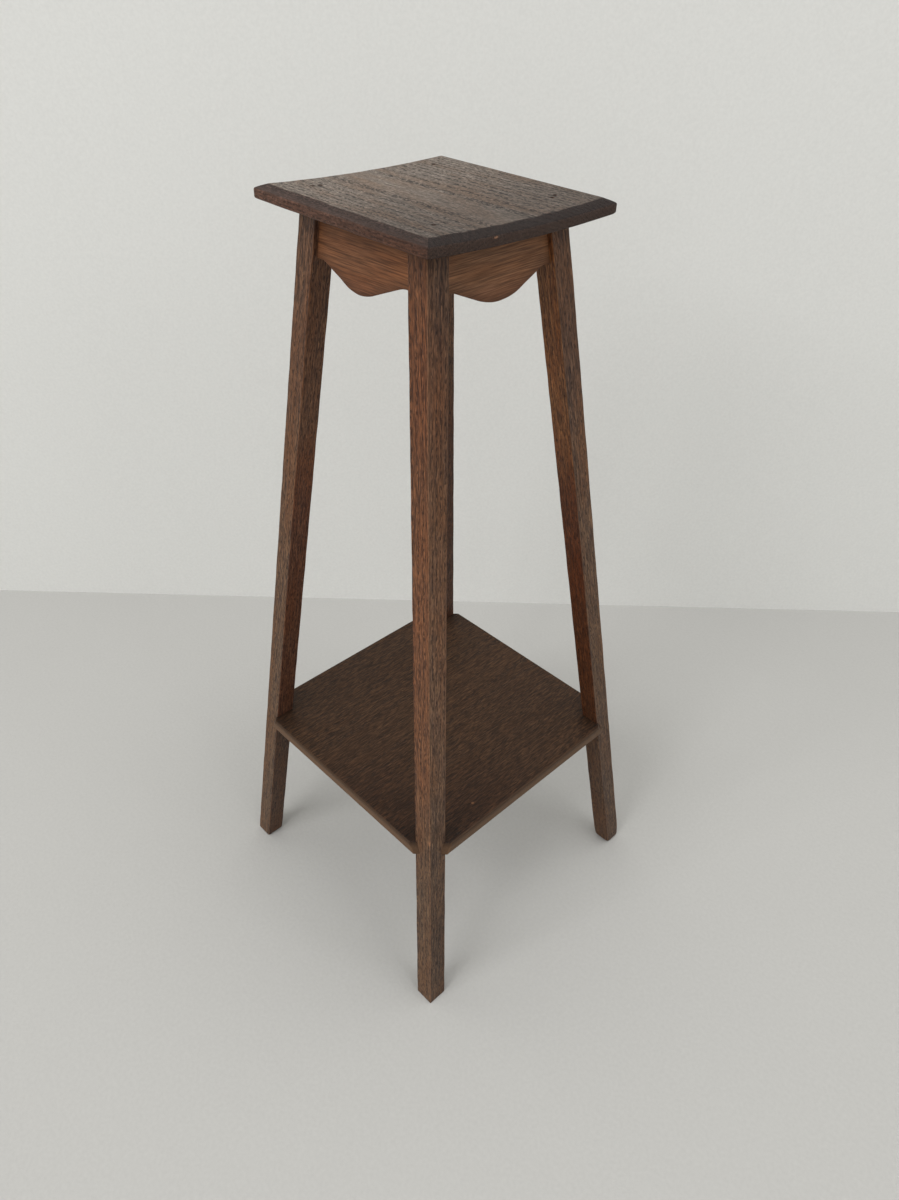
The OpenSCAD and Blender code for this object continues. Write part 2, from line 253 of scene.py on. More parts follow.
def oak(name, pale, deep, russet, pore, ring_mm, pith, wander, streak_mm, fibre_mm, fibre_share, pore_mm, pore_band,
        pore_share):
    """Stained oak. Long soft streaks lie between a pale and a deep tone, broad clouds turn it russet, fine fibres
    lighten and darken it, and dark pores stand in rows along the year rings. Returns the material, the colour and
    the relief.

    Streaks, fibres and pores have a size along the fibres and one across them. The rings are ring_mm apart round
    the pith, and wander from a true circle. A share says how strongly fibres and pores show, and the band is the
    part of the noise in which a pore starts and is full."""
    material = bpy.data.materials.new(name)
    material.use_nodes = True
    tree = material.node_tree
    tree.nodes.clear()
    board = add(tree, "ShaderNodeAttribute", {}, attribute_name="board").outputs["Vector"]
    along = add(tree, "ShaderNodeMapping", {"Vector": board, "Scale": drawn_out(streak_mm)})
    streak = add(tree, "ShaderNodeTexNoise", {"Vector": along, "Scale": 1.0, "Detail": 5.0, "Roughness": 0.62})
    tone = add(tree, "ShaderNodeMapRange", {"Value": streak, "From Min": 0.36, "From Max": 0.64})
    colour = add(tree, "ShaderNodeMix", {"Factor": tone, "A": linear(deep), "B": linear(pale)}, data_type="RGBA")
    wide = add(tree, "ShaderNodeMapping", {"Vector": board, "Scale": drawn_out(CLOUD_MM)})
    cloud = add(tree, "ShaderNodeTexNoise", {"Vector": wide, "Scale": 1.0, "Detail": 2.0})
    cloud = add(tree, "ShaderNodeMapRange", {"Value": cloud, "From Min": 0.42, "From Max": 0.68, "To Max": 0.8})
    colour = add(tree, "ShaderNodeMix", {"Factor": cloud, "A": colour, "B": linear(russet)}, data_type="RGBA")
    # Real fibres are hundredths of a millimetre wide and real pores a quarter of one. A pixel spans about 0.7 mm,
    # so fibres are drawn as strands of 0.65 to 0.85 mm and pores 0.75 to 0.9 mm wide, or they would blend away
    thin = add(tree, "ShaderNodeMapping", {"Vector": board, "Location": (3.3, 5.1, 7.7), "Scale": drawn_out(fibre_mm)})
    fibres = add(tree, "ShaderNodeTexNoise", {"Vector": thin, "Scale": 1.0, "Detail": 2.0, "Roughness": 0.6})
    shade = add(tree, "ShaderNodeMapRange", {"Value": fibres, "From Min": 0.35, "From Max": 0.65,
                                             "To Min": 1 + fibre_share, "To Max": 1 - fibre_share})
    colour = add(tree, "ShaderNodeMix", {"Factor": 1.0, "A": colour, "B": shade}, data_type="RGBA",
                 blend_type="MULTIPLY")
    heart = add(tree, "ShaderNodeMapping", {"Vector": board, "Location": (0, *pith), "Scale": (RING_CHANGE, 1, 1)})
    rings = add(tree, "ShaderNodeTexWave", {"Vector": heart, "Scale": WAVE_REPEAT / ring_mm, "Distortion": wander,
                                            "Detail": 2.0, "Detail Scale": 0.35},
                wave_type="RINGS", rings_direction="X")
    rows = add(tree, "ShaderNodeMapRange", {"Value": rings, "From Min": 0.35, "From Max": 0.9, "To Min": 0.35})
    fine = add(tree, "ShaderNodeMapping", {"Vector": board, "Scale": drawn_out(pore_mm)})
    pores = add(tree, "ShaderNodeTexNoise", {"Vector": fine, "Scale": 1.0, "Detail": 1.0, "Roughness": 0.5})
    pores = add(tree, "ShaderNodeMapRange", {"Value": pores, "From Min": pore_band[0], "From Max": pore_band[1],
                                             "To Max": pore_share})
    pores = add(tree, "ShaderNodeMath", {0: pores, 1: rows}, operation="MULTIPLY")
    colour = add(tree, "ShaderNodeMix", {"Factor": pores, "A": colour, "B": linear(pore)}, data_type="RGBA")
    relief = add(tree, "ShaderNodeMath", {0: streak, 1: pores}, operation="SUBTRACT")
    return material, colour, relief


def facing(tree):
    """The direction of the face itself, in its parts along X, Y and Z."""
    normal = add(tree, "ShaderNodeNewGeometry", {}).outputs["True Normal"]
    return add(tree, "ShaderNodeSeparateXYZ", {"Vector": normal})


def standing(tree):
    """The place on the stand, in metres along X, Y and Z."""
    place = add(tree, "ShaderNodeTexCoord", {}).outputs["Object"]
    return add(tree, "ShaderNodeSeparateXYZ", {"Vector": place})


def in_board(tree):
    """The place in the board, in millimetres: along the fibres in X, across them in Y and through it in Z."""
    board = add(tree, "ShaderNodeAttribute", {}, attribute_name="board").outputs["Vector"]
    return add(tree, "ShaderNodeSeparateXYZ", {"Vector": board})


def tinted(tree, colour, value, start, end, times):
    """The colour times three numbers: not at all where the value is at start, in full where it is at end."""
    mask = add(tree, "ShaderNodeMapRange", {"Value": value, "From Min": start, "From Max": end},
               interpolation_type="SMOOTHSTEP")
    return add(tree, "ShaderNodeMix", {"Factor": mask, "A": colour, "B": (*times, 1.0)}, data_type="RGBA",
               blend_type="MULTIPLY")


def marked(tree, colour, centre, half, times):
    """The colour times three numbers inside an ellipsoid, fading towards its surface. Its centre on the stand and
    its half sizes are in millimetres."""
    place = add(tree, "ShaderNodeTexCoord", {}).outputs["Object"]
    local = add(tree, "ShaderNodeMapping", {"Vector": place, "Location": [c / 1000 for c in centre],
                                            "Scale": [h / 1000 for h in half]}, vector_type="TEXTURE")
    away = add(tree, "ShaderNodeVectorMath", {0: local}, operation="LENGTH")
    return tinted(tree, colour, away, 1.0, 0.3, times)


def polish(material, colour, relief, roughness, depth_mm):
    """Closes a material: the relief goes into a bump of the given depth, and the colour into a waxed wood shader."""
    tree = material.node_tree
    bump = add(tree, "ShaderNodeBump", {"Height": relief, "Strength": 0.6, "Distance": depth_mm / 1000})
    shader = add(tree, "ShaderNodeBsdfPrincipled", {"Base Color": colour, "Roughness": roughness, "IOR": 1.5,
                                                    "Specular IOR Level": 0.2, "Normal": bump})
    add(tree, "ShaderNodeOutputMaterial", {"Surface": shader})


# Brown-stained oak under hand-rubbed wax: a satin brown with dark pores, greyer towards the floor. The inner
# faces were never rubbed and have gone a deeper red-brown.
leg_oak, colour, relief = oak("brown-stained oak, hand-waxed", "#7e5d43", "#463229", "#6f4a30", "#302018",
                              ring_mm=2.6, pith=(30.0, 45.0), wander=2.2, streak_mm=(17.0, 1.25),
                              fibre_mm=(6.5, 0.8), fibre_share=0.42, pore_mm=(3.4, 0.9), pore_band=(0.47, 0.6),
                              pore_share=0.8)
tree = leg_oak.node_tree
look, spot, stick = facing(tree), standing(tree), in_board(tree)
# Greyer towards the floor. Painted shade darkens the legs towards the top, under the top board, and darkens and cools
# the right-hand faces, which get less light
colour = tinted(tree, colour, spot.outputs["Z"], 0.42, 0.16, (0.92, 1.02, 1.08))
colour = tinted(tree, colour, spot.outputs["Z"], 0.4, 0.5, (0.94, 0.9, 0.92))
colour = tinted(tree, colour, look.outputs["X"], 0.6, 0.85, (0.87, 0.92, 0.98))
# The inner faces, where one of the two places across the stick is near 0. The first tint has a third of its
# strength below the shelf, and the second lightens them again towards the top
least = add(tree, "ShaderNodeMath", {0: stick.outputs["Y"], 1: stick.outputs["Z"]}, operation="MINIMUM")
colour = tinted(tree, colour, least, 3.0, 0.8, (0.93, 0.91, 0.91))
above = add(tree, "ShaderNodeMapRange", {"Value": spot.outputs["Z"], "From Min": 0.15, "From Max": 0.16,
                                         "To Min": 0.35})
high = add(tree, "ShaderNodeMapRange", {"Value": spot.outputs["Z"], "From Min": 0.36, "From Max": 0.5},
           interpolation_type="SMOOTHSTEP")
INNER_TINTS = ("Y", (0.97, 0.74, 0.7), (1.28, 1.56, 1.5)), ("Z", (0.65, 0.51, 0.44), (2.27, 3.0, 2.9))
for side, times, high_times in INNER_TINTS:
    inner = add(tree, "ShaderNodeMapRange", {"Value": stick.outputs[side], "From Min": 0.1, "From Max": 0.6,
                                             "To Min": 1.0, "To Max": 0.0})
    inner = add(tree, "ShaderNodeMath", {0: inner, 1: above}, operation="MULTIPLY")
    colour = tinted(tree, colour, inner, 0.0, 1.0, times)
    inner = add(tree, "ShaderNodeMath", {0: inner, 1: high}, operation="MULTIPLY")
    colour = tinted(tree, colour, inner, 0.0, 1.0, high_times)
# The right legs' faces that look to the front, and the left legs' that look to the back, kept the most orange
frontal = add(tree, "ShaderNodeMath", {0: look.outputs["Y"], 1: spot.outputs["X"]}, operation="MULTIPLY")
frontal = add(tree, "ShaderNodeMapRange", {"Value": frontal, "From Min": -0.02, "From Max": -0.06})
raised = add(tree, "ShaderNodeMapRange", {"Value": spot.outputs["Z"], "From Min": 0.1, "From Max": 0.26})
orange = add(tree, "ShaderNodeMath", {0: frontal, 1: raised}, operation="MULTIPLY")
colour = tinted(tree, colour, orange, 0.0, 1.0, (1.06, 0.86, 0.72))
# Painted shade: the right-hand faces are darker again from the shelf down
low_right_shade = add(tree, "ShaderNodeMapRange", {"Value": spot.outputs["Z"], "From Min": 0.26, "From Max": 0.14})
low_right_shade = add(tree, "ShaderNodeMath", {0: look.outputs["X"], 1: low_right_shade}, operation="MULTIPLY")
colour = tinted(tree, colour, low_right_shade, 0.1, 0.9, (0.91, 0.87, 0.87))
# Paler and darker places, each with its middle, its half sizes and its tint
LEG_MARKS = (
    ((88.0, -88.0, 320.0), (45.0, 45.0, 270.0), (1.18, 1.12, 1.1)),   # the front right leg, most of its length
    ((66.0, -66.0, 525.0), (22.0, 22.0, 75.0), (1.12, 1.03, 0.96)),   # its upper end
    ((-80.0, 80.0, 380.0), (60.0, 60.0, 320.0), (0.66, 0.67, 0.62)),  # the back left leg
    ((124.0, -110.0, 70.0), (14.0, 20.0, 95.0), (0.85, 0.83, 0.82)),  # painted shade on the front right foot's right-hand face
    ((70.0, 58.0, 515.0), (12.0, 20.0, 85.0), (0.8, 0.83, 0.9)),      # painted shade on the back right leg's right-hand face, near the top
    ((61.0, -48.8, 566.0), (6.0, 2.4, 14.0), (0.55, 0.52, 0.55)),     # a dark streak near the front right leg's top
    ((62.5, -54.5, 543.0), (6.0, 3.4, 15.0), (0.55, 0.52, 0.55)),     # and its lower end, further across the face
)
for middle, half, times in LEG_MARKS:
    colour = marked(tree, colour, middle, half, times)
# The outer arrises are rubbed paler, and the chip shows bare wood
rubbed = add(tree, "ShaderNodeMapRange", {"Value": least, "From Min": 15.5, "From Max": 16.1, "To Max": 0.45})
colour = add(tree, "ShaderNodeMix", {"Factor": rubbed, "A": colour, "B": linear("#8d684e")}, data_type="RGBA")
colour = marked(tree, colour, (107.2, -107.2, CHIP_HEIGHT), (2.6, 2.6, 4.0), (2.6, 2.5, 2.4))
polish(leg_oak, colour, relief, 0.5, 0.35)
for seed, (node_name, sides) in enumerate(LEGS.items(), 1):
    piece = leg(node_name, *sides, seed, CHIP_DEEP if node_name == "leg_front_right" else 0.0, FOOT_WORN[node_name])
    piece.data.materials.append(leg_oak)
    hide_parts(node_name)

# --------------------------------------------------------------------------------------------------------------
# The four aprons: thin oak boards tenoned between the legs, set back from their faces, with one rounded lobe
# and a hollow at each end sawn and filed along the lower edge.
# --------------------------------------------------------------------------------------------------------------
APRON_THICKNESS, APRON_SETBACK = 8.0, 3.7
# The lower edge: the length of its level ends, and its two patterns. The height is that of the ends, the drop is
# how far the lobe comes down below them, and the shift is how far the lobe is off the middle
END_FLAT = 4.2
FRONT_SAWN = {"end_height": 563.3, "lobe_drop": 12.6, "lobe_radius": 32.0, "hollow_radius": 17.0, "lobe_shift": -2.2}
SIDE_SAWN = {"end_height": 561.6, "lobe_drop": 12.4, "lobe_radius": 46.0, "hollow_radius": 12.0, "lobe_shift": 0.0}
APRONS = {"apron_front": FRONT_SAWN, "apron_right": SIDE_SAWN, "apron_back": FRONT_SAWN, "apron_left": SIDE_SAWN}
# The softened lower arrises: their radius, how much it sways and over what length
APRON_ROUND, APRON_SWAY, APRON_WAVE, APRON_SEED = 0.7, 0.25, 22, 11
# The mesh: its columns from leg to leg, and its lines down a face as shares of the way up to the seat
APRON_COLUMNS = 141
FACE_LINES = np.array([1.0, 0.96, 0.8, 0.6, 0.4, 0.2, 0.07])
# Cosine and sine of the quarter turns from the front apron's place to the front, right, back and left
QUARTERS = (1, 0), (0, 1), (-1, 0), (0, -1)
# Each apron takes its grain from another stretch of the same board
APRON_APART = 400


def lower_edge(x, end_height, lobe_drop, lobe_radius, hollow_radius, lobe_shift):
    """Height of an apron's lower edge at x: level beside the leg, then the hollow's arc, a straight flank that
    touches both circles, and the lobe's arc, which is shifted from the middle and less so towards the legs."""
    end_x = outer_half(end_height) - LEG_SIDE
    hollow_x = end_x - END_FLAT
    hollow_z = end_height - hollow_radius
    lobe_z = end_height - lobe_drop + lobe_radius
    between = math.hypot(hollow_x, hollow_z - lobe_z)
    flank = math.atan2(hollow_z - lobe_z, hollow_x) + math.asin((lobe_radius + hollow_radius) / between)
    low_x, high_x = lobe_radius * math.sin(flank), hollow_x - hollow_radius * math.sin(flank)
    low_z = lobe_z - lobe_radius * math.cos(flank)
    away = np.abs(x - lobe_shift * (1 - (x / end_x) ** 2))
    lobe = lobe_z - np.sqrt(np.maximum(lobe_radius ** 2 - np.minimum(away, low_x) ** 2, 0))
    straight = low_z + (away - low_x) * math.tan(flank)
    hollow = hollow_z + np.sqrt(np.maximum(hollow_radius ** 2 - np.clip(hollow_x - away, 0, hollow_radius) ** 2, 0))
    return np.where(away < low_x, lobe, np.where(away < high_x, straight, hollow))


def apron(node_name, quarter, sawn, seed):
    """The section of a board with softened lower edges, carried from leg to leg. It leans with the legs, and its
    upper edge lies on the seat."""
    end_x = outer_half(sawn["end_height"]) - LEG_SIDE
    x_low = end_x * np.sin(np.linspace(-np.pi / 2, np.pi / 2, APRON_COLUMNS))
    bottom = lower_edge(x_low, **sawn)[:, None]
    share = x_low[:, None] / (outer_half(bottom) - LEG_SIDE)
    radius = (APRON_ROUND + APRON_SWAY * ripple(x_low, seed, APRON_WAVE))[:, None]

    # Down the front face, round both lower arrises, up the back face and over the middle of the upper edge:
    # the depth behind the face, the height over the lower edge, and the share of the way from there to the seat
    face, middle = np.ones((len(x_low), len(FACE_LINES))), np.ones((len(x_low), 1))
    sunk, lifted = radius * (1 - np.cos(QUARTER_TURN)), radius * (1 - np.sin(QUARTER_TURN))
    depth = np.concatenate([face * 0, sunk, APRON_THICKNESS - sunk[:, ::-1], face * APRON_THICKNESS,
                            middle * APRON_THICKNESS / 2], 1)
    lift = np.concatenate([face * radius, lifted, lifted[:, ::-1], face * radius, radius], 1)
    up = np.concatenate([FACE_LINES, 0 * QUARTER_TURN, 0 * QUARTER_TURN, FACE_LINES[::-1], [1.0]])[None]
    top = np.full(depth.shape, SEAT_HEIGHT)
    cosine, sine = QUARTERS[quarter]
    for _ in range(SETTLING):
        height = bottom + lift + up * (top - bottom - lift)
        local_x = share * (outer_half(height) - LEG_SIDE)
        local_y = -(outer_half(height) - APRON_SETBACK) + depth
        x, y = cosine * local_x - sine * local_y, sine * local_x + cosine * local_y
        top = seat_height(x, y)
    rings = np.stack([x, y, height], -1)
    board = np.stack([local_x + APRON_APART * seed, height - sawn["end_height"], depth], -1)
    return skin(node_name + "_shaped", rings, board=board, arris=height - bottom)


# Oak with a warmer stain, waxed: the top shades the aprons, so light has bleached them least. Long fibres run from
# leg to leg with few pores. They are palest near the front right leg, and redder and darker down the lobes.
apron_oak, colour, relief = oak("warm-stained oak, waxed", "#845e42", "#6e4d37", "#754d31", "#3d281e",
                                ring_mm=2.4, pith=(60.0, 12.0), wander=0.3, streak_mm=(46.0, 0.75),
                                fibre_mm=(22.0, 0.65), fibre_share=0.42, pore_mm=(11.0, 0.75),
                                pore_band=(0.46, 0.64), pore_share=0.34)
tree = apron_oak.node_tree
look, spot = facing(tree), standing(tree)
colour = tinted(tree, colour, look.outputs["Y"], -0.6, -0.85, (0.92, 0.8, 0.72))
colour = tinted(tree, colour, spot.outputs["Z"], 0.566, 0.552, (0.95, 0.88, 0.9))
colour = marked(tree, colour, (48.0, -56.0, 576.0), (34.0, 20.0, 14.0), (1.35, 1.32, 1.25))
# Darker along the sawn lower edge and for 9 mm above it
edge = add(tree, "ShaderNodeAttribute", {}, attribute_name="arris").outputs["Fac"]
near_lower_edge = add(tree, "ShaderNodeMapRange", {"Value": edge, "From Min": 0.5, "From Max": 9.0, "To Min": 0.45,
                                           "To Max": 0.0}, interpolation_type="SMOOTHSTEP")
colour = add(tree, "ShaderNodeMix", {"Factor": near_lower_edge, "A": colour, "B": linear("#4a3022")}, data_type="RGBA")
polish(apron_oak, colour, relief, 0.5, 0.3)
for quarter, (node_name, sawn) in enumerate(APRONS.items()):
    piece = apron(node_name, quarter, sawn, quarter + APRON_SEED)
    piece.data.materials.append(apron_oak)
    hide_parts(node_name)

# --------------------------------------------------------------------------------------------------------------
# The shelf: one square oak board, stained dark, with its corners sawn off and let into the four legs. Its edges
# have been rubbed pale by whatever was lifted over them.
# --------------------------------------------------------------------------------------------------------------
# Its sides stand this far out past the legs at its upper face
SHELF_HALF = outer_half(SHELF_FACE) + 4.7
# The radii of its upper and lower arrises, and the share of them that the sawn corners have
SHELF_ROUND, UNDER_ROUND, CUT_SHARE = 1.5, 0.8, 0.35
# The mesh: steps along a side and a cut corner, rings just inside the edge, and rings nearer the middle as shares
SIDE_STEPS, CUT_STEPS = 44, 8
RIM_IN = np.array([16.0, 9.0, 5.0, 2.8])
MIDDLE_SHARES = np.array([0.2, 0.4, 0.6, 0.8])
# Its grain is taken from another stretch of the board
SHELF_APART = 3000


def eight_sides(half, diagonal):
    """A square with cut corners, walked round once: half is the distance to its sides, diagonal to its cuts."""
    meet = diagonal * math.sqrt(2) - half
    long_way = np.linspace(-1, 1, SIDE_STEPS, endpoint=False)
    short_way = np.linspace(0, 1, CUT_STEPS, endpoint=False)
    half, meet = half[:, None], meet[:, None]
    x = np.concatenate([half + 0 * long_way, half + (meet - half) * short_way], 1)
    y = np.concatenate([meet * long_way, meet + (half - meet) * short_way], 1)
    return np.concatenate([np.stack(p, -1) for p in ((x, y), (-y, x), (-x, -y), (y, -x))], 1)


def shelf():
    """Rings of the eight-sided outline from the middle of the under face, round the edge, to the middle above."""
    sunk, lifted = 1 - np.cos(QUARTER_TURN), 1 - np.sin(QUARTER_TURN)
    inset = np.concatenate([RIM_IN, UNDER_ROUND * lifted, SHELF_ROUND * sunk, RIM_IN[::-1]])
    height = np.concatenate([RIM_IN * 0 + SHELF_UNDER, SHELF_UNDER + UNDER_ROUND * sunk,
                             SHELF_FACE - SHELF_ROUND * lifted, RIM_IN * 0 + SHELF_FACE])
    diagonal = (outer_half(height) - LEG_SIDE) * math.sqrt(2) + housing(height)
    outline = eight_sides(SHELF_HALF - inset, diagonal - inset * CUT_SHARE)
    scale = MIDDLE_SHARES[:, None, None]
    outline = np.concatenate([outline[:1] * scale, outline, outline[-1:] * scale[::-1]])
    height = np.concatenate([MIDDLE_SHARES * 0 + SHELF_UNDER, height, MIDDLE_SHARES * 0 + SHELF_FACE])
    height = height[:, None] + 0 * outline[..., 0]
    to_edge = SHELF_HALF - np.abs(outline).max(-1)
    rings = np.concatenate([outline, height[..., None]], -1)
    board = np.stack([outline[..., 1] + SHELF_APART, outline[..., 0], height - SHELF_UNDER], -1)
    return skin("lower_shelf_worn", rings, board=board, arris=to_edge)


# Oak with a dark stain and little wax: nearly black towards the legs, in painted shade where they meet it and where
# dust and polish have gathered, and pale on the rims and on the sawn corners, where the stain has worn off or never
# took.
shelf_oak, colour, relief = oak("dark-stained oak, dry wax", "#4e3624", "#2f2015", "#3f2a1a", "#1b130d",
                                ring_mm=3.0, pith=(12.0, 70.0), wander=2.2, streak_mm=(12.0, 1.3),
                                fibre_mm=(7.0, 0.85), fibre_share=0.5, pore_mm=(3.6, 0.9), pore_band=(0.46, 0.6),
                                pore_share=0.7)
tree = shelf_oak.node_tree
look, spot, thick = facing(tree), standing(tree), in_board(tree).outputs["Z"]
# Painted contact shade over gathered dust: darker towards all four legs and towards the front right one. A dark streak
# lies near its front edge
out_x = add(tree, "ShaderNodeMath", {0: spot.outputs["X"]}, operation="ABSOLUTE")
out_y = add(tree, "ShaderNodeMath", {0: spot.outputs["Y"]}, operation="ABSOLUTE")
corner = add(tree, "ShaderNodeMath", {0: out_x, 1: out_y}, operation="ADD")
colour = tinted(tree, colour, corner, 0.165, 0.2, (0.62, 0.6, 0.62))
forward = add(tree, "ShaderNodeMath", {0: spot.outputs["X"], 1: spot.outputs["Y"]}, operation="SUBTRACT")
colour = tinted(tree, colour, forward, 0.05, 0.16, (0.78, 0.71, 0.68))
colour = marked(tree, colour, (59.0, -95.0, SHELF_FACE), (2.4, 15.0, 4.0), (0.55, 0.55, 0.55))
# Bare wood, dimmer on the face than on the edge, and dimmed on the right-hand side by painted shade, shows where the
# rim is rubbed and, half hidden, where the corners are sawn
wood = tinted(tree, linear("#72563f"), thick, 4.5, 10.0, (0.42, 0.42, 0.43))
wood = tinted(tree, wood, look.outputs["X"], 0.6, 0.85, (0.8, 0.8, 0.8))
edge = add(tree, "ShaderNodeAttribute", {}, attribute_name="arris").outputs["Fac"]
rubbed = add(tree, "ShaderNodeMapRange", {"Value": edge, "From Min": 0.2, "From Max": 1.8, "To Min": 0.8,
                                          "To Max": 0.0}, interpolation_type="SMOOTHSTEP")
turned_x = add(tree, "ShaderNodeMath", {0: look.outputs["X"]}, operation="ABSOLUTE")
turned_y = add(tree, "ShaderNodeMath", {0: look.outputs["Y"]}, operation="ABSOLUTE")
turned = add(tree, "ShaderNodeMath", {0: turned_x, 1: turned_y}, operation="MULTIPLY")
cut_off = add(tree, "ShaderNodeMapRange", {"Value": turned, "From Min": 0.28, "From Max": 0.42, "To Max": 0.5})
bare = add(tree, "ShaderNodeMath", {0: rubbed, 1: cut_off}, operation="MAXIMUM")
colour = add(tree, "ShaderNodeMix", {"Factor": bare, "A": colour, "B": wood}, data_type="RGBA")
# A pale nick near the right-hand edge
colour = marked(tree, colour, (95.8, -50.3, SHELF_FACE), (1.6, 1.6, 1.6), (3.2, 3.2, 3.2))
polish(shelf_oak, colour, relief, 0.55, 0.3)
piece = shelf()
piece.data.materials.append(shelf_oak)
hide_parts("lower_shelf")

# --------------------------------------------------------------------------------------------------------------
# The top: one oak board with its fibres along X, bevelled round its upper edges. Years of damp pots have greyed
# it, raised its grain and cupped it across the fibres. Six pins hold it, punched below its face.
# --------------------------------------------------------------------------------------------------------------
TOP_THICKNESS, BEVEL_WIDTH = 9.0, 7.0
FACE_HALF = TOP_HALF - BEVEL_WIDTH
# Each pin: the leg that it goes into, and how far it is off the leg's middle as a share of the leg's side
LEG_MIDDLE = outer_half(SEAT_HEIGHT) - LEG_SIDE / 2
PIN_PLACES = np.array([(-1, -1, -0.3, -0.08), (-1, -1, -0.27, 0.26), (1, 1, 0.03, -0.05), (1, 1, -0.12, 0.27),
                       (1, -1, 0.18, -0.04), (-1, 1, -0.46, 0.1)])
PIN_XY = PIN_PLACES[:, :2] * LEG_MIDDLE + PIN_PLACES[:, 2:] * LEG_SIDE
# The pits over the pins: their radius, depth and the width of their wall
PIT_RADIUS, PIT_DEPTH, PIT_WALL = 1.25, 1.02, 0.3
# The worn face: how far it lies below a new one, the height above which it is worn flat, the share of the
# unevenness that shows, and its depth, wave and seed across the fibres and along them
FACE_WORN, FACE_FLAT, FACE_SHARE = 0.12, 0.2, 0.5
ACROSS, ALONG = (0.12, 16, 31), (0.1, 50, 32)
# The fibres swing this far sideways, and there and back again in two pi times this length
SWING, SWING_LENGTH = 6, 60
# The rim's profile: over the bevel, 3 mm down in 7 mm, round the edge, and in along the under face
RIM_INSET = np.array([6.4, 5.2, 3.5, 1.9, 0.95, 0.4, 0.1, 0.0, 0.0, 0.0, 0.15, 0.5, 1.1, 6.0, 20.0, 40.0, 60.0, 72.0])
RIM_HEIGHT = np.array([8.72, 8.22, 7.5, 6.81, 6.35, 5.98, 5.5, 4.8, 3.0, 1.1, 0.5, 0.14, 0, 0, 0, 0, 0, 0])
# The corners seen from above: their radii, how fast these shrink inwards, and their limits
CORNER_ROUND = {(-1, -1): 1.2, (1, -1): 1.0, (1, 1): 2.4, (-1, 1): 1.5}
CORNER_SHRINK, CORNER_LEAST, CORNER_SHARE = 0.2, 0.3, 0.5
# The edge's unevenness: its depth, wave and seed, and how far in it reaches
EDGE_WORN, EDGE_WAVE, EDGE_SEED, EDGE_REACH = 0.16, 25, 33, 2
# The mesh of the face: its even lines, the closer ones round a pit, how far they keep from these, and the least gap
EVEN_LINES = 49
PIT_LINES = np.array([-1.9, -1.5, -1.2, -0.95, -0.7, -0.35, 0, 0.35, 0.7, 0.95, 1.2, 1.5, 1.9])
PIT_CLEAR, LEAST_GAP = 0.8, 0.12
# Its grain is taken from another stretch of the board
TOP_APART = 5000


def gathered(centres):
    """Grid lines across the face, even at 3 mm, with closer ones gathered round each centre."""
    even = np.linspace(-FACE_HALF, FACE_HALF, EVEN_LINES)
    close = (centres[:, None] + PIT_LINES).ravel()
    even = even[[np.abs(close - line).min() > PIT_CLEAR or abs(line) == FACE_HALF for line in even]]
    lines = np.sort(np.concatenate([even, close]))
    return lines[np.concatenate([[True], np.diff(lines) > LEAST_GAP])]


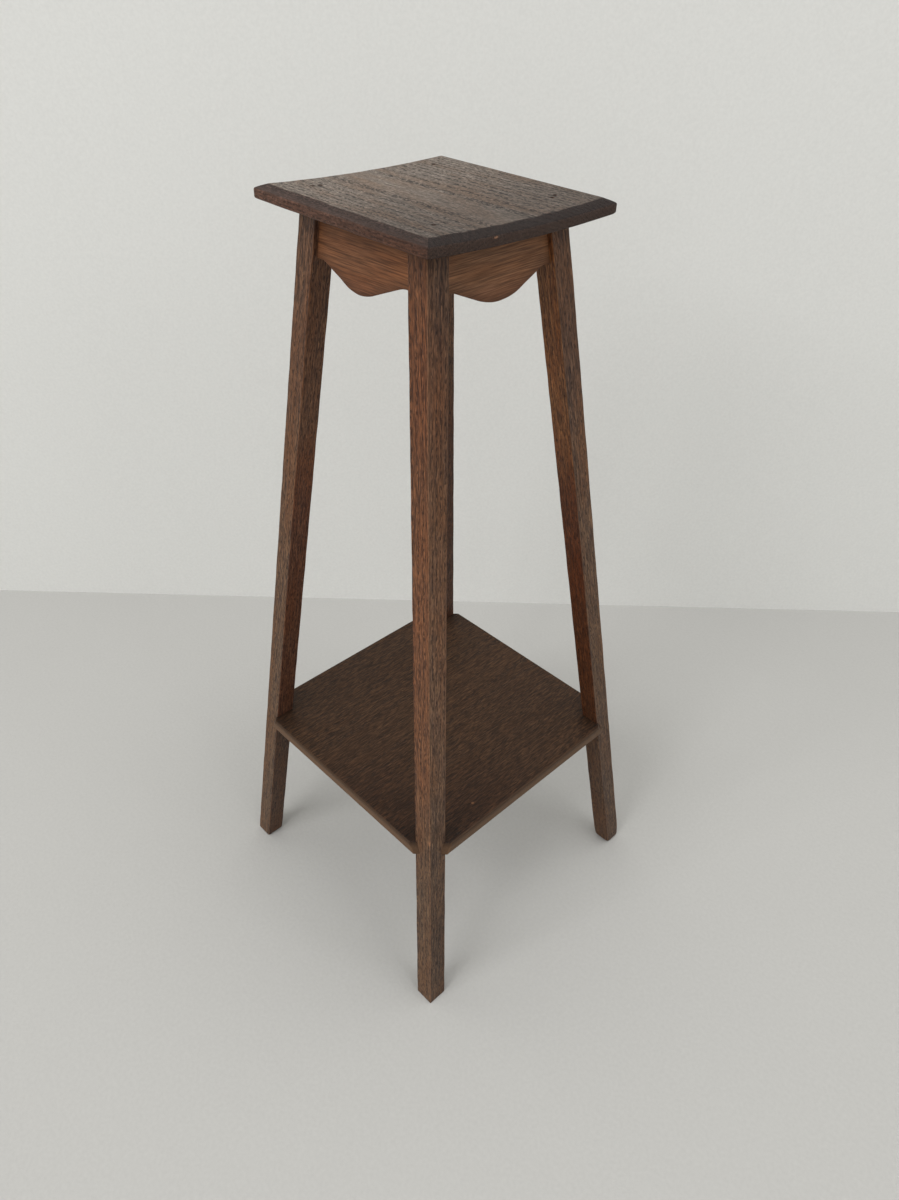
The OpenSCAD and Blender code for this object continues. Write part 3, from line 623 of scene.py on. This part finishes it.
def top():
    """The upper face is a grid with closer lines at the pins, where it sinks. Its rim is carried out over the
    bevel, round the edge and in along the under face to the middle. All of it is then cupped and leaned."""
    grid_x, grid_y = np.meshgrid(gathered(PIN_XY[:, 0]), gathered(PIN_XY[:, 1]), indexing="ij")
    distance = np.hypot(grid_x[..., None] - PIN_XY[:, 0], grid_y[..., None] - PIN_XY[:, 1]).min(-1)
    pit = np.clip((PIT_RADIUS + PIT_WALL / 2 - distance) / PIT_WALL, 0, 1) * PIT_DEPTH
    (across_depth, across_wave, across_seed), (along_depth, along_wave, along_seed) = ACROSS, ALONG
    across = across_depth * ripple(grid_y + SWING * np.sin(grid_x / SWING_LENGTH), across_seed, across_wave)
    wear = across + along_depth * ripple(grid_x, along_seed, along_wave)
    worn_face = TOP_THICKNESS - FACE_WORN - pit + FACE_SHARE * np.minimum(wear, FACE_FLAT)
    face = np.stack([grid_x, grid_y, worn_face], -1).reshape(-1, 3)
    nx, ny = grid_x.shape
    index = np.arange(nx * ny).reshape(nx, ny)
    quads = np.stack([index[:-1, :-1], index[1:, :-1], index[1:, 1:], index[:-1, 1:]], -1).reshape(-1, 4)
    rim = np.concatenate([index[:-1, 0], index[-1, :-1], index[:0:-1, -1], index[0, :0:-1]])
    rim_xy = face[rim, :2] / FACE_HALF

    # The rim's outline at each inset. Beyond the centre of a corner's circle, the square's edge is pulled onto it
    half = (TOP_HALF - RIM_INSET)[:, None]
    outline = rim_xy[None] * half[..., None]
    rounds = np.array([CORNER_ROUND.get((int(a), int(b)), 1.0) for a, b in np.sign(rim_xy)])[None]
    rounds = np.maximum(rounds - RIM_INSET[:, None] * CORNER_SHRINK, CORNER_LEAST)
    rounds = np.minimum(rounds, half * CORNER_SHARE)
    past = np.abs(outline) - (half - rounds)[..., None]
    corner = (past > 0).all(-1)
    length = np.hypot(past[..., 0], past[..., 1])
    pulled = (half - rounds)[..., None] + past * (past.max(-1) / np.maximum(length, 1e-6))[..., None]
    outline = np.where(corner[..., None], np.sign(outline) * pulled, outline)
    walk = np.arctan2(rim_xy[:, 1], rim_xy[:, 0]) * TOP_HALF
    worn = np.where((RIM_INSET < EDGE_REACH)[:, None], EDGE_WORN * (1 + ripple(walk, EDGE_SEED, EDGE_WAVE)), 0)
    outline = outline * (1 - worn / TOP_HALF)[..., None]
    rings = np.concatenate([outline, np.broadcast_to(RIM_HEIGHT[:, None, None], outline.shape[:2] + (1,))], -1)

    flat = np.concatenate([face, rings.reshape(-1, 3), [[0, 0, 0]]])
    size = len(rim)
    ring_index = np.concatenate([rim[None], nx * ny + np.arange(len(RIM_INSET) * size).reshape(-1, size)])
    beside = np.roll(ring_index, -1, 1)
    band = np.stack([ring_index[:-1], ring_index[1:], beside[1:], beside[:-1]], -1).reshape(-1, 4)
    fan = np.stack([ring_index[-1], np.full(size, len(flat) - 1), beside[-1]], -1)
    return shape("top_board_cupped", cupped(*flat.T), quads.tolist() + band.tolist() + fan.tolist(),
                 board=flat + [TOP_APART, 0, 0])


# Weathered oak, worn matt: grey-brown, with painted shade darkening it towards the right-hand side, and with a dark
# water streak. Its bevels have kept more stain, its sides are warmer, and its end grain has drunk the most and is
# nearly black.
top_oak, colour, relief = oak("weathered grey-brown oak, worn matt", "#93877d", "#60554b", "#7a6555", "#221b18",
                              ring_mm=2.2, pith=(8.0, 90.0), wander=2.2, streak_mm=(16.0, 1.1),
                              fibre_mm=(3.6, 0.85), fibre_share=0.45, pore_mm=(2.0, 0.85), pore_band=(0.46, 0.55),
                              pore_share=0.95)
tree = top_oak.node_tree
look, spot = facing(tree), standing(tree)
end_grain = add(tree, "ShaderNodeMath", {0: look.outputs["X"]}, operation="ABSOLUTE")
# Painted shade, darker to the right, and the water streak
colour = tinted(tree, colour, spot.outputs["X"], -0.05, 0.06, (0.6, 0.58, 0.58))
colour = marked(tree, colour, (1.0, -29.0, 599.0), (18.0, 2.2, 4.0), (0.6, 0.6, 0.62))
# The bevels: more even, and darker
even = add(tree, "ShaderNodeMapRange", {"Value": look.outputs["Z"], "From Min": 0.985, "From Max": 0.96,
                                        "To Max": 0.45})
colour = add(tree, "ShaderNodeMix", {"Factor": even, "A": colour, "B": linear("#5f534b")}, data_type="RGBA")
colour = tinted(tree, colour, look.outputs["Z"], 0.985, 0.96, (0.41, 0.32, 0.315))
# The sides, then the bevels over end grain and the end grain itself
colour = tinted(tree, colour, look.outputs["Z"], 0.8, 0.4, (1.7, 1.36, 1.13))
colour = tinted(tree, colour, end_grain, 0.2, 0.38, (0.445, 0.442, 0.468))
colour = tinted(tree, colour, end_grain, 0.7, 0.9, (1.45, 1.82, 1.94))
# A warmer stretch of the front side, and a pale nick in the right-hand one
colour = marked(tree, colour, (60.0, -78.0, 592.5), (24.0, 5.0, 7.0), (1.14, 1.06, 0.95))
colour = marked(tree, colour, (78.9, -27.0, 594.3), (2.0, 2.2, 0.9), (4.5, 4.0, 3.2))
polish(top_oak, colour, relief, 0.6, 0.4)
piece = top()
piece.data.materials.append(top_oak)
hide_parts("top_board")

# --------------------------------------------------------------------------------------------------------------
# The pins: thin steel panel pins, driven through the top and through the legs into the shelf, punched below the
# wood and long since gone dark.
# --------------------------------------------------------------------------------------------------------------
# Drawn steel wire that damp has browned: dull and nearly black, with rust in patches of about a millimetre, so
# many to the metre
RUST_PATCHES = 900.0
pin_steel = bpy.data.materials.new("drawn steel, browned by damp")
pin_steel.use_nodes = True
tree = pin_steel.node_tree
tree.nodes.clear()
place = add(tree, "ShaderNodeTexCoord", {}).outputs["Object"]
patches = add(tree, "ShaderNodeTexNoise", {"Vector": place, "Scale": RUST_PATCHES, "Detail": 3.0})
colour = add(tree, "ShaderNodeMix", {"Factor": patches, "A": linear("#241f1d"), "B": linear("#4a362b")},
             data_type="RGBA")
bump = add(tree, "ShaderNodeBump", {"Height": patches, "Strength": 0.4, "Distance": 0.0001})
shader = add(tree, "ShaderNodeBsdfPrincipled", {"Base Color": colour, "Metallic": 0.6, "Roughness": 0.6,
                                                "Normal": bump})
add(tree, "ShaderNodeOutputMaterial", {"Surface": shader})
for node_name in ("top_pins", "shelf_pins"):
    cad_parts[node_name].material_slots[0].material = pin_steel

# --------------------------------------------------------------------------------------------------------------
# The camera: in front of the near corner and above the top, looking down 37 degrees, as in the photograph.
# --------------------------------------------------------------------------------------------------------------
# The picture's height and the focal length in its pixels, and the sensor's height in millimetres
IMAGE_TALL_PX, LENS_PX, SENSOR = 1200, 886.8, 36.0
# The camera's place and the nearest that it sees, in metres, and where it looks from
VIEW_PLACE, NEAREST = (0.4202, -0.3865, 0.7278), 0.01
VIEW_AZIMUTH, VIEW_ELEVATION, VIEW_ROLL = np.radians([46.3165, 37.3394, 0.2134])

back = Vector((math.sin(VIEW_AZIMUTH) * math.cos(VIEW_ELEVATION), -math.cos(VIEW_AZIMUTH) * math.cos(VIEW_ELEVATION),
               math.sin(VIEW_ELEVATION)))
level_right = Vector((math.cos(VIEW_AZIMUTH), math.sin(VIEW_AZIMUTH), 0))
right = level_right * math.cos(VIEW_ROLL) + back.cross(level_right) * math.sin(VIEW_ROLL)
view_data = bpy.data.cameras.new("view")
view_data.sensor_fit = "VERTICAL"
view_data.sensor_height = SENSOR
view_data.lens = LENS_PX * SENSOR / IMAGE_TALL_PX
view_data.clip_start = NEAREST
view = bpy.data.objects.new("view", view_data)
bpy.context.scene.collection.objects.link(view)
turn = Matrix((right, back.cross(right), back)).transposed().to_4x4()
view.matrix_world = Matrix.Translation(VIEW_PLACE) @ turn
bpy.context.scene.camera = view

# --------------------------------------------------------------------------------------------------------------
# The setting: a pale painted floor that meets a pale painted wall behind the stand, in metres. Its lengths run
# away from the camera, level, and beside that.
# --------------------------------------------------------------------------------------------------------------
WALL_BACK, SETTING_REACH, WALL_TALL = 0.381, 6.0, 4.0
WALL_TURN = math.radians(-1.956)
STIPPLE_MM = 3.0
away = Vector((-back.x, -back.y, 0)).normalized()
beside_view = Vector((away.y, -away.x, 0))


def paint(name, code, depth_mm):
    """Matt emulsion paint, rolled on: one colour with the low stipple that the roller leaves. From behind the
    sheet can be seen through, so that the stand shows from all round."""
    material = bpy.data.materials.new(name)
    material.use_nodes = True
    tree = material.node_tree
    tree.nodes.clear()
    place = add(tree, "ShaderNodeTexCoord", {}).outputs["Object"]
    stipple = add(tree, "ShaderNodeTexNoise", {"Vector": place, "Scale": 1000 / STIPPLE_MM, "Detail": 3.0})
    shade = add(tree, "ShaderNodeMapRange", {"Value": stipple, "From Min": 0.3, "From Max": 0.7, "To Min": 0.975,
                                             "To Max": 1.025})
    colour = add(tree, "ShaderNodeMix", {"Factor": 1.0, "A": linear(code), "B": shade}, data_type="RGBA",
                 blend_type="MULTIPLY")
    bump = add(tree, "ShaderNodeBump", {"Height": stipple, "Strength": 0.5, "Distance": depth_mm / 1000})
    shader = add(tree, "ShaderNodeBsdfPrincipled", {"Base Color": colour, "Roughness": 0.85, "Normal": bump})
    behind = add(tree, "ShaderNodeNewGeometry", {}).outputs["Backfacing"]
    unseen = add(tree, "ShaderNodeBsdfTransparent", {})
    one_sided = add(tree, "ShaderNodeMixShader", {0: behind, 1: shader, 2: unseen})
    add(tree, "ShaderNodeOutputMaterial", {"Surface": one_sided})
    return material


def sheet(name, corners, material):
    """A flat four-cornered sheet that isn't part of the stand."""
    mesh = bpy.data.meshes.new(name)
    mesh.from_pydata(corners, [], [(0, 1, 2, 3)])
    mesh.materials.append(material)
    made = bpy.data.objects.new(name, mesh)
    bpy.context.scene.collection.objects.link(made)


wall_way = beside_view * math.cos(WALL_TURN) + away * math.sin(WALL_TURN)
wall_foot = away * WALL_BACK
near = away * -SETTING_REACH
left_foot, right_foot = wall_foot - wall_way * SETTING_REACH, wall_foot + wall_way * SETTING_REACH
tall = Vector((0, 0, WALL_TALL))
sheet("floor", [near - beside_view * SETTING_REACH, near + beside_view * SETTING_REACH, right_foot, left_foot],
      paint("pale floor paint, rolled", "#bebdba", 0.4))
sheet("wall", [left_foot, right_foot, right_foot + tall, left_foot + tall],
      paint("pale wall paint, rolled", "#e1e1de", 0.3))

# Two large soft boxes light the stand from the front, one on each side of the camera. A third hangs over it and
# draws the shelf's shadow under it, and an even pale surround fills the shadows.
LAMP_AIM = Vector((0, 0, 0.3))
SURROUND_STRENGTH = 0.55


def soft_box(name, ahead, aside, height, side, power):
    """A square lamp in front of the stand, that far ahead, aside and up, turned to the stand's middle."""
    data = bpy.data.lights.new(name, "AREA")
    data.size = side
    data.energy = power
    lamp = bpy.data.objects.new(name, data)
    lamp.location = away * -ahead + beside_view * aside + Vector((0, 0, height))
    lamp.rotation_euler = (lamp.location - LAMP_AIM).to_track_quat("Z", "Y").to_euler()
    bpy.context.scene.collection.objects.link(lamp)


soft_box("left soft box", ahead=2.55, aside=-2.85, height=3.6, side=2.7, power=112)
soft_box("right soft box", ahead=2.4, aside=3.0, height=3.3, side=2.7, power=43)
soft_box("overhead soft box", ahead=-0.1, aside=0.5, height=2.4, side=1.2, power=10)
surround = bpy.data.worlds.new("pale surround")
surround.use_nodes = True
background = surround.node_tree.nodes["Background"]
background.inputs["Color"].default_value = linear("#fbfbf8")
background.inputs["Strength"].default_value = SURROUND_STRENGTH
bpy.context.scene.world = surround
bpy.context.scene.view_settings.view_transform = "Standard"
